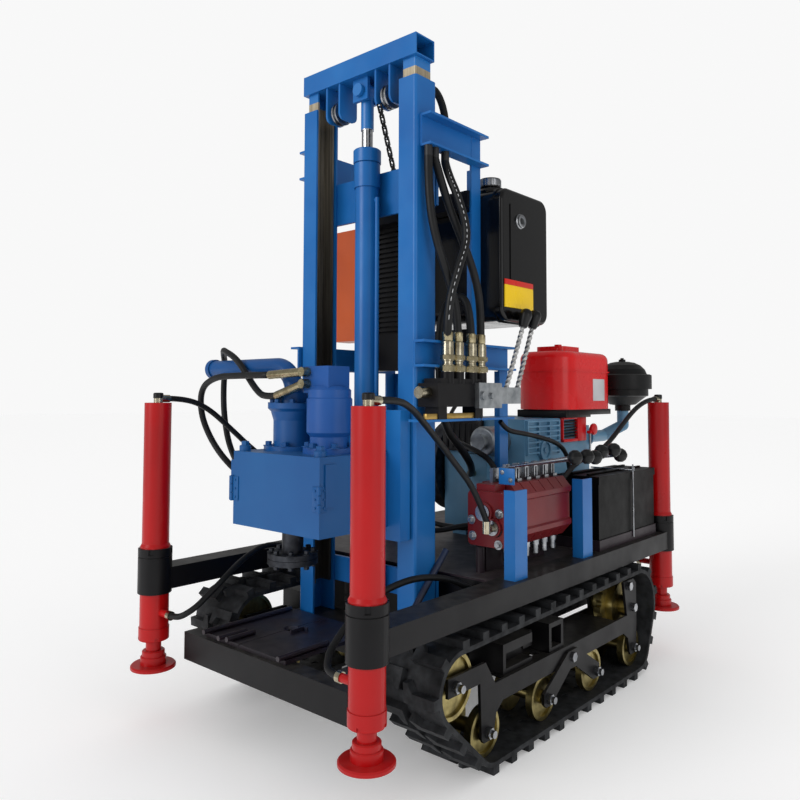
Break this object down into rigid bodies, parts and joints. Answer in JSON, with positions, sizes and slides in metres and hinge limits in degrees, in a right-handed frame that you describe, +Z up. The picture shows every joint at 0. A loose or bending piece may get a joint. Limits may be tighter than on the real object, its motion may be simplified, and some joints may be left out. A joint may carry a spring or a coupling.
{
  "type": "crawler drilling rig",
  "caption": "Small rubber-tracked water-well drilling rig with a telescoping mast, rotary drive head, outrigger legs, oil tank and engine on a deck.",
  "frame": {"origin": "on the ground in the middle of the machine's bounding box", "axes": "+Z up, -Y towards the front end with the mast, +X to the side with the valve levers"},
  "size_m": [1.3569, 2.2345, 2.3162],
  "materials": {
    "mast_blue": "gloss paint",
    "drive_blue": "gloss paint",
    "leg_red": "gloss paint",
    "frame_black": "semi-gloss paint",
    "deck_paint": "semi-gloss paint",
    "engine_paint": "semi-gloss paint",
    "tank_black": "gloss paint",
    "tank_red": "gloss paint",
    "nickel": "plated",
    "orange_paint": "gloss paint",
    "valve_red": "gloss paint",
    "gold_zinc": "passivated zinc",
    "steel": "machined",
    "chrome": "hard chrome",
    "aluminium": "cast",
    "cast_iron": "cast",
    "rubber": "moulded",
    "black_plastic": "moulded",
    "hose_rubber": "smooth cover"
  },
  "bodies": {
    "chassis": {"side_beams": "frame_black", "base_frame": "frame_black", "cross_beams": "frame_black", "deck": "deck_paint", "drill_table": "frame_black", "track_left": "rubber", "track_right": "rubber", "track_frame_left": "frame_black", "track_frame_right": "frame_black", "track_wheels_left": "gold_zinc", "track_wheels_right": "gold_zinc", "track_axles": "steel", "leg_barrels": "leg_red", "fittings": "nickel", "mast_posts": "mast_blue", "mast_ties": "mast_blue", "lift_cylinder": "mast_blue", "stand": "mast_blue", "tank_carrier": "frame_black", "oil_tank": "tank_black", "oil_cooler": "frame_black", "cooler_cover": "orange_paint", "engine": "engine_paint", "fuel_tank": "tank_red", "air_filter": "tank_black", "alternator": "aluminium", "valve_bank": "valve_red", "guard_posts": "mast_blue", "upper_valve": "frame_black", "lever_bracket": "aluminium", "levers": "steel", "lever_knobs": "black_plastic", "valve_shelf": "mast_blue", "battery": "black_plastic", "lower_leg_lines": "hose_rubber", "leg_hose_front_right": "hose_rubber", "leg_hose_front_left": "hose_rubber", "leg_hose_rear_right": "hose_rubber", "leg_hose_rear_left": "hose_rubber", "feed_hose_1": "hose_rubber", "feed_hose_2": "hose_rubber", "feed_hose_3": "hose_rubber", "return_hose": "hose_rubber"},
    "mast_inner": {"inner_channels": "steel", "crosshead": "mast_blue", "lift_rod": "chrome", "sheaves": "steel"},
    "carriage": {"gearbox": "mast_blue", "carriage": "mast_blue", "drill_motor": "drive_blue", "water_swivel": "drive_blue", "motor_fittings": "nickel", "motor_hose_a": "hose_rubber", "motor_hose_b": "hose_rubber"},
    "spindle": {"spindle": "cast_iron"},
    "flywheel": {"flywheel": "cast_iron"},
    "leg_foot_front_left": {"leg_foot_front_left": "leg_red"},
    "leg_foot_rear_left": {"leg_foot_rear_left": "leg_red"},
    "leg_foot_front_right": {"leg_foot_front_right": "leg_red"},
    "leg_foot_rear_right": {"leg_foot_rear_right": "leg_red"}
  },
  "joints": [
    {"name": "mast_slide", "type": "slide", "parent": "chassis", "child": "mast_inner", "axis": [0, 0, 1], "range_m": [-0.04, 0.7]},
    {"name": "carriage_slide", "type": "slide", "parent": "chassis", "child": "carriage", "axis": [0, 0, 1], "range_m": [-0.08, 1.4], "deforming": ["motor_hose_a", "motor_hose_b"]},
    {"name": "spindle_spin", "type": "hinge", "parent": "carriage", "child": "spindle", "pos_m": [-0.181, -0.762, 0.6], "axis": [0, 0, 1], "continuous": true},
    {"name": "flywheel_spin", "type": "hinge", "parent": "chassis", "child": "flywheel", "pos_m": [-0.216, 0.257, 0.8], "axis": [1, 0, 0], "continuous": true},
    {"name": "front_left_leg_slide", "type": "slide", "parent": "chassis", "child": "leg_foot_front_left", "axis": [0, 0, -1], "range_m": [0, 0.45]},
    {"name": "rear_left_leg_slide", "type": "slide", "parent": "chassis", "child": "leg_foot_rear_left", "axis": [0, 0, -1], "range_m": [0, 0.45]},
    {"name": "front_right_leg_slide", "type": "slide", "parent": "chassis", "child": "leg_foot_front_right", "axis": [0, 0, -1], "range_m": [0, 0.45]},
    {"name": "rear_right_leg_slide", "type": "slide", "parent": "chassis", "child": "leg_foot_rear_right", "axis": [0, 0, -1], "range_m": [0, 0.45]}
  ],
  "couplings": [
    {"joint": "carriage_slide", "follows": "mast_slide", "ratio": 2}
  ]
}
